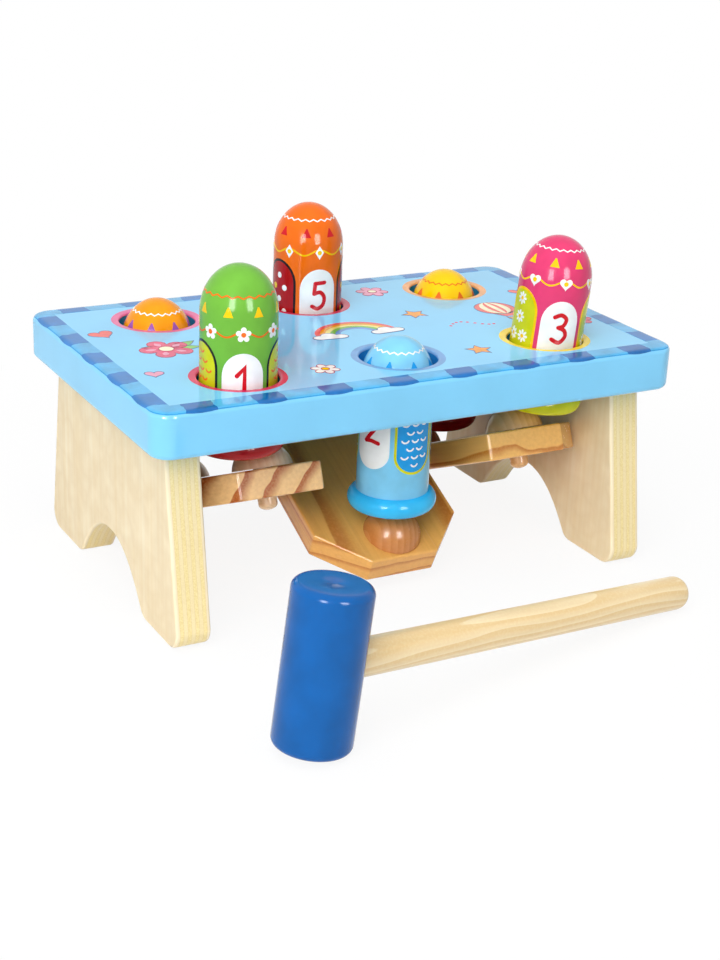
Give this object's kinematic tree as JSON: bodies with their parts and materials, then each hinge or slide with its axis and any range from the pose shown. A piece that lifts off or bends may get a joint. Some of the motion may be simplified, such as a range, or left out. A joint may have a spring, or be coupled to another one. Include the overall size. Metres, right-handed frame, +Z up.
{
  "type": "pounding bench",
  "caption": "Toy bench with a drilled board on arched legs: striking a peg down turns a rocker plate and lifts its partner peg; with a mallet.",
  "frame": {"origin": "on the floor, under the middle of the row's bounding box, mallet included; the bench's own middle is 50.5 mm behind it", "axes": "+X along the board to the right as seen from the mallet's side, +Y from the mallet to the back of the bench, +Z up"},
  "size_m": [0.243, 0.2504, 0.1483],
  "materials": {
    "blue_lacquer": "glossy light blue lacquer with a printed top",
    "plywood": "clear-varnished plywood, plies showing on the edges",
    "dowel_birch": "plain turned birch, glued in",
    "rod_steel": "plain drawn rod",
    "rocker_pine": "glossy varnished pine with end grain",
    "knob_beech": "satin varnished turned wood",
    "peg_green": "glossy paint",
    "peg_sky": "glossy paint",
    "peg_pink": "glossy paint",
    "peg_orange": "glossy paint",
    "peg_red_orange": "glossy paint",
    "peg_yellow": "glossy paint",
    "mallet_blue": "glossy paint over turned wood",
    "handle_wood": "clear-varnished turned wood"
  },
  "bodies": {
    "bench": {"top_board": "blue_lacquer", "leg_left": "plywood", "leg_right": "plywood", "leg_dowel_left_front": "dowel_birch", "leg_dowel_left_back": "dowel_birch", "leg_dowel_right_front": "dowel_birch", "leg_dowel_right_back": "dowel_birch", "pivot_rod": "rod_steel"},
    "rocker_left": {"rocker_plate_left": "rocker_pine", "knob_left_front": "knob_beech", "knob_left_back": "knob_beech"},
    "rocker_middle": {"rocker_plate_middle": "rocker_pine", "knob_middle_front": "knob_beech", "knob_middle_back": "knob_beech"},
    "rocker_right": {"rocker_plate_right": "rocker_pine", "knob_right_front": "knob_beech", "knob_right_back": "knob_beech"},
    "peg_left_front": {"peg_left_front": "peg_green"},
    "peg_left_back": {"peg_left_back": "peg_orange"},
    "peg_middle_front": {"peg_middle_front": "peg_sky"},
    "peg_middle_back": {"peg_middle_back": "peg_red_orange"},
    "peg_right_front": {"peg_right_front": "peg_pink"},
    "peg_right_back": {"peg_right_back": "peg_yellow"},
    "mallet": {"mallet_head": "mallet_blue", "mallet_handle": "handle_wood"}
  },
  "joints": [
    {"name": "rocker_left_tilt", "type": "hinge", "parent": "bench", "child": "rocker_left", "pos_m": [0, 0.05048, 0.0357], "axis": [1, 0, 0], "range_deg": [0, 46.6]},
    {"name": "rocker_middle_tilt", "type": "hinge", "parent": "bench", "child": "rocker_middle", "pos_m": [0, 0.05048, 0.0357], "axis": [1, 0, 0], "range_deg": [-48.6, 0]},
    {"name": "rocker_right_tilt", "type": "hinge", "parent": "bench", "child": "rocker_right", "pos_m": [0, 0.05048, 0.0357], "axis": [1, 0, 0], "range_deg": [0, 47]},
    {"name": "peg_left_front_slide", "type": "slide", "parent": "bench", "child": "peg_left_front", "axis": [0, 0, 1], "range_m": [-0.0365, 0]},
    {"name": "peg_left_back_slide", "type": "slide", "parent": "bench", "child": "peg_left_back", "axis": [0, 0, 1], "range_m": [0, 0.0365]},
    {"name": "peg_middle_front_slide", "type": "slide", "parent": "bench", "child": "peg_middle_front", "axis": [0, 0, 1], "range_m": [0, 0.0379]},
    {"name": "peg_middle_back_slide", "type": "slide", "parent": "bench", "child": "peg_middle_back", "axis": [0, 0, 1], "range_m": [-0.0379, 0]},
    {"name": "peg_right_front_slide", "type": "slide", "parent": "bench", "child": "peg_right_front", "axis": [0.0872, 0, 0.9962], "range_m": [-0.0366, 0]},
    {"name": "peg_right_back_slide", "type": "slide", "parent": "bench", "child": "peg_right_back", "axis": [0, 0, 1], "range_m": [0, 0.0367]},
    {"name": "mallet_lift", "type": "slide", "parent": "bench", "child": "mallet", "axis": [0, 0, 1], "range_m": [0, 0.2]}
  ],
  "couplings": [
    {"joint": "peg_left_front_slide", "follows": "rocker_left_tilt", "m_per_rad": -0.044743},
    {"joint": "peg_left_back_slide", "follows": "rocker_left_tilt", "m_per_rad": 0.044743},
    {"joint": "peg_middle_front_slide", "follows": "rocker_middle_tilt", "m_per_rad": -0.044633},
    {"joint": "peg_middle_back_slide", "follows": "rocker_middle_tilt", "m_per_rad": 0.044633},
    {"joint": "peg_right_front_slide", "follows": "rocker_right_tilt", "m_per_rad": -0.044551},
    {"joint": "peg_right_back_slide", "follows": "rocker_right_tilt", "m_per_rad": 0.044721}
  ]
}
